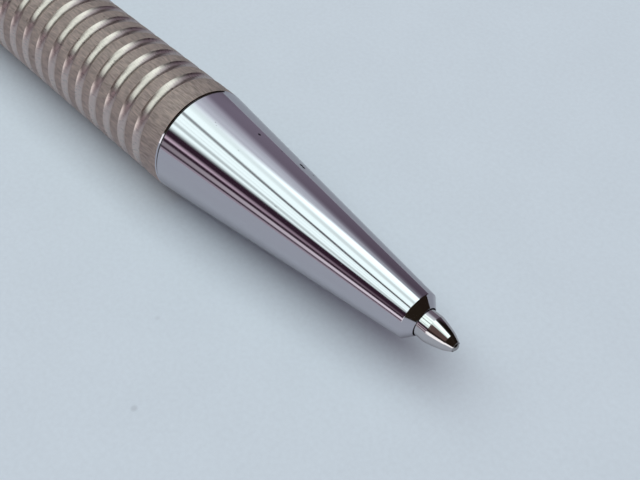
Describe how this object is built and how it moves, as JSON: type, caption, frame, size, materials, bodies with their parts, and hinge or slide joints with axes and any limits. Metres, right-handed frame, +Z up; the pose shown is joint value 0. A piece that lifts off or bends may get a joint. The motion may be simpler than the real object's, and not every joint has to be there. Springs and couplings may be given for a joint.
{
  "type": "ballpoint pen",
  "caption": "Twist-action ballpoint pen with a polished nose cone, a ringed metal barrel and a sprung pocket clip, lying with its tip out.",
  "frame": {"origin": "middle of the pen's footprint on the table it lies on: the middle of its bounding box, at its base", "axes": "+X along the pen towards the writing tip, +Z up from the table, the clip on the -Y side"},
  "size_m": [0.1376, 0.012, 0.0102],
  "materials": {
    "polished_steel": "mirror polished, hard chrome",
    "brushed_barrel": "satin, brushed lengthwise, warm grey, with polished grooves",
    "tip_steel": "fine turned nickel silver",
    "ball_steel": "polished hard metal",
    "brass": "machined",
    "spring_steel": "drawn wire and strip",
    "black_rubber": "matt black",
    "refill_metal": "thin drawn tube, satin",
    "blue_plastic": "moulded",
    "ink_paste": "thick paste ink"
  },
  "bodies": {
    "front_half": {"nose_cone": "polished_steel", "nose_insert": "brass", "nose_seal_ring": "black_rubber", "lower_barrel": "brushed_barrel", "coupling_bush": "brass", "centre_ring": "polished_steel", "guide_sleeve": "brass", "drag_ring": "black_rubber", "retaining_ring": "spring_steel", "return_spring": "spring_steel"},
    "rear_half": {"upper_barrel": "brushed_barrel", "cam_tube": "brass", "finial_screw": "spring_steel", "finial": "polished_steel", "end_housing": "polished_steel", "clip_pin": "spring_steel", "clip_leaf_spring": "spring_steel"},
    "refill": {"refill_tube": "refill_metal", "refill_neck": "refill_metal", "writing_tip": "tip_steel", "ink_column": "ink_paste", "refill_end_plug": "blue_plastic", "follower": "brass", "follower_pin": "spring_steel"},
    "clip": {"clip": "polished_steel"},
    "ball": {"writing_ball": "ball_steel"}
  },
  "joints": [
    {"name": "twist", "type": "hinge", "parent": "front_half", "child": "rear_half", "pos_m": [-0.00385, 0.00093, 0.0051], "axis": [1, 0, 0], "range_deg": [-120, 0]},
    {"name": "refill_slide", "type": "slide", "parent": "front_half", "child": "refill", "axis": [1, 0, 0], "range_m": [-0.0052, 0], "deforming": ["return_spring"]},
    {"name": "clip_lift", "type": "hinge", "parent": "rear_half", "child": "clip", "pos_m": [-0.06145, -0.00236, 0.00319], "axis": [0, 0.5036, -0.864], "range_deg": [0, 6], "stiffness_Nm_per_rad": 0.8, "springref_deg": -6.88, "deforming": ["clip_leaf_spring"]},
    {"name": "ball_roll", "type": "hinge", "parent": "refill", "child": "ball", "pos_m": [0.06829, 0.00093, 0.0051], "axis": [0, 1, 0], "continuous": true}
  ],
  "couplings": [
    {"joint": "twist", "follows": "refill_slide", "rad_per_m": 402.77}
  ]
}
